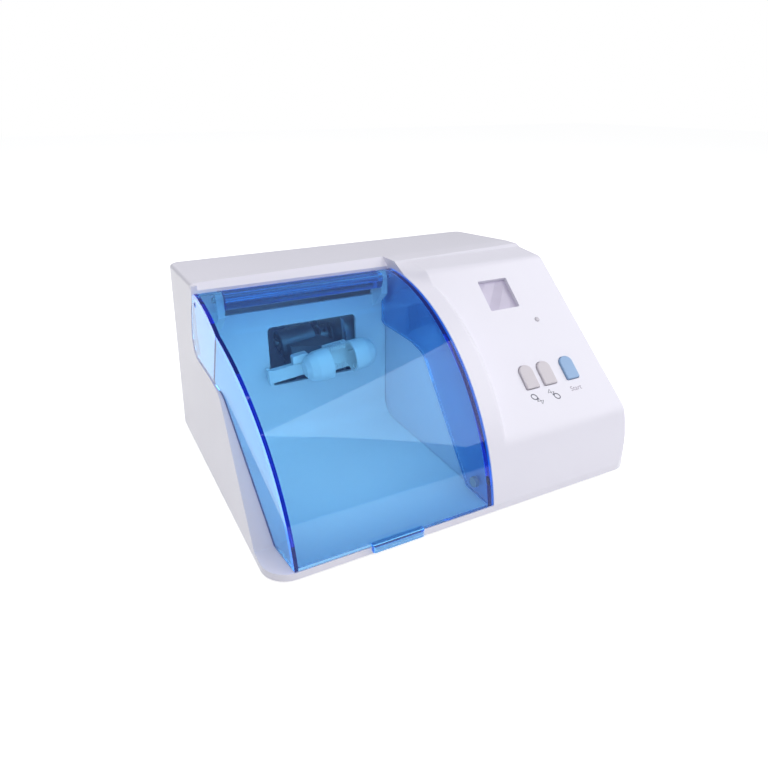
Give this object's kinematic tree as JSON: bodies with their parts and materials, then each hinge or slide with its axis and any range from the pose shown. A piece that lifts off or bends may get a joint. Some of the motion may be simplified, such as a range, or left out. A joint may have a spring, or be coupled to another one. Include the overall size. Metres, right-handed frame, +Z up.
{
  "type": "dental amalgamator",
  "caption": "Capsule mixer with a wedge-shaped white case, a clear blue hinged lid over the shaking capsule holder, and a sloped control panel with display and push buttons.",
  "frame": {"origin": "centre of the overall outline in plan, on the surface the feet stand on", "axes": "+X to the right as seen from the front, +Y to the rear, +Z up; the control panel and the lid's finger tab face -Y"},
  "size_m": [0.23, 0.196, 0.1175],
  "materials": {
    "white_shell": "glossy white, faint lilac",
    "chamber_white": "semi-gloss white",
    "clear_blue": "clear blue, polished",
    "steel": "machined",
    "magnet": "plated",
    "black_plastic": "matte black",
    "grey_base": "matte white",
    "motor_metal": "zinc plated",
    "bracket_metal": "folded sheet and laminations",
    "aluminium_cast": "cast, bead blasted",
    "holder_white": "white moulding",
    "board_green": "solder mask",
    "lens_clear": "clear",
    "display_face": "unlit display, lilac-grey",
    "lamp": "diffuse lens",
    "coil_tape": "yellow tape",
    "contact_brass": "plated",
    "rubber": "matte",
    "button_grey": "satin grey",
    "button_blue": "satin light blue"
  },
  "bodies": {
    "case": {"housing": "white_shell", "liner": "chamber_white", "hinge_rod": "steel", "restraint_spring": "steel", "base_screw_1": "steel", "base_screw_2": "steel", "base_screw_3": "steel", "base_screw_4": "steel", "bracket_screw_1": "steel", "bracket_screw_2": "steel", "bracket_screw_3": "steel", "bracket_screw_4": "steel", "motor_screw_1": "steel", "motor_screw_2": "steel", "board_screw_1": "steel", "board_screw_2": "steel", "lid_sensor": "black_plastic", "buzzer": "black_plastic", "inlet": "black_plastic", "power_switch": "black_plastic", "fuse_holder": "black_plastic", "motor_cap": "black_plastic", "switch_1": "black_plastic", "switch_2": "black_plastic", "switch_3": "black_plastic", "base_plate": "grey_base", "motor": "motor_metal", "motor_bracket": "bracket_metal", "transformer_core": "bracket_metal", "control_board": "board_green", "power_board": "board_green", "display_lens": "lens_clear", "display_module": "display_face", "status_lamp": "lamp", "transformer_coil": "coil_tape", "inlet_pin_1": "contact_brass", "inlet_pin_2": "contact_brass", "inlet_pin_3": "contact_brass", "foot_1": "rubber", "foot_2": "rubber", "foot_3": "rubber", "foot_4": "rubber", "damper_1": "rubber", "damper_2": "rubber", "damper_3": "rubber", "damper_4": "rubber"},
    "lid": {"lid": "clear_blue", "lid_magnet": "magnet"},
    "shaft": {"motor_shaft": "steel", "lock_collar": "steel", "skew_sleeve": "steel"},
    "rocker": {"rocker": "aluminium_cast", "hub_bearing_left": "steel", "hub_bearing_right": "steel", "capsule_holder": "holder_white"},
    "cup": {"sliding_cup": "holder_white"},
    "button_left": {"button_1": "button_grey"},
    "button_middle": {"button_2": "button_grey"},
    "button_start": {"button_3": "button_blue"},
    "switch_rocker": {"power_rocker": "black_plastic"}
  },
  "joints": [
    {"name": "lid_hinge", "type": "hinge", "parent": "case", "child": "lid", "pos_m": [0, 0.02217, 0.10538], "axis": [-1, 0, 0], "range_deg": [0, 86]},
    {"name": "shaft_spin", "type": "hinge", "parent": "case", "child": "shaft", "pos_m": [-0.0425, 0.05675, 0.062], "axis": [1, 0, 0], "continuous": true},
    {"name": "rocker_turn", "type": "hinge", "parent": "shaft", "child": "rocker", "pos_m": [-0.0425, 0.05675, 0.062], "axis": [0.9945, 0, 0.1045], "continuous": true},
    {"name": "cup_slide", "type": "slide", "parent": "rocker", "child": "cup", "axis": [-0.9945, 0, -0.1045], "range_m": [0, 0.009], "stiffness_N_per_m": 800, "springref_m": -0.003},
    {"name": "button_left_press", "type": "slide", "parent": "case", "child": "button_left", "axis": [0, 0.6626, -0.749], "range_m": [0, 0.0008], "stiffness_N_per_m": 700, "springref_m": -0.0006},
    {"name": "button_middle_press", "type": "slide", "parent": "case", "child": "button_middle", "axis": [0, 0.6626, -0.749], "range_m": [0, 0.0008], "stiffness_N_per_m": 700, "springref_m": -0.0006},
    {"name": "button_start_press", "type": "slide", "parent": "case", "child": "button_start", "axis": [0, 0.6626, -0.749], "range_m": [0, 0.0008], "stiffness_N_per_m": 700, "springref_m": -0.0006},
    {"name": "power_switch_tip", "type": "hinge", "parent": "case", "child": "switch_rocker", "pos_m": [0.035, 0.09475, 0.023], "axis": [0, 0, 1], "range_deg": [0, 14]}
  ],
  "couplings": [
    {"joint": "rocker_turn", "follows": "shaft_spin", "ratio": -1}
  ]
}
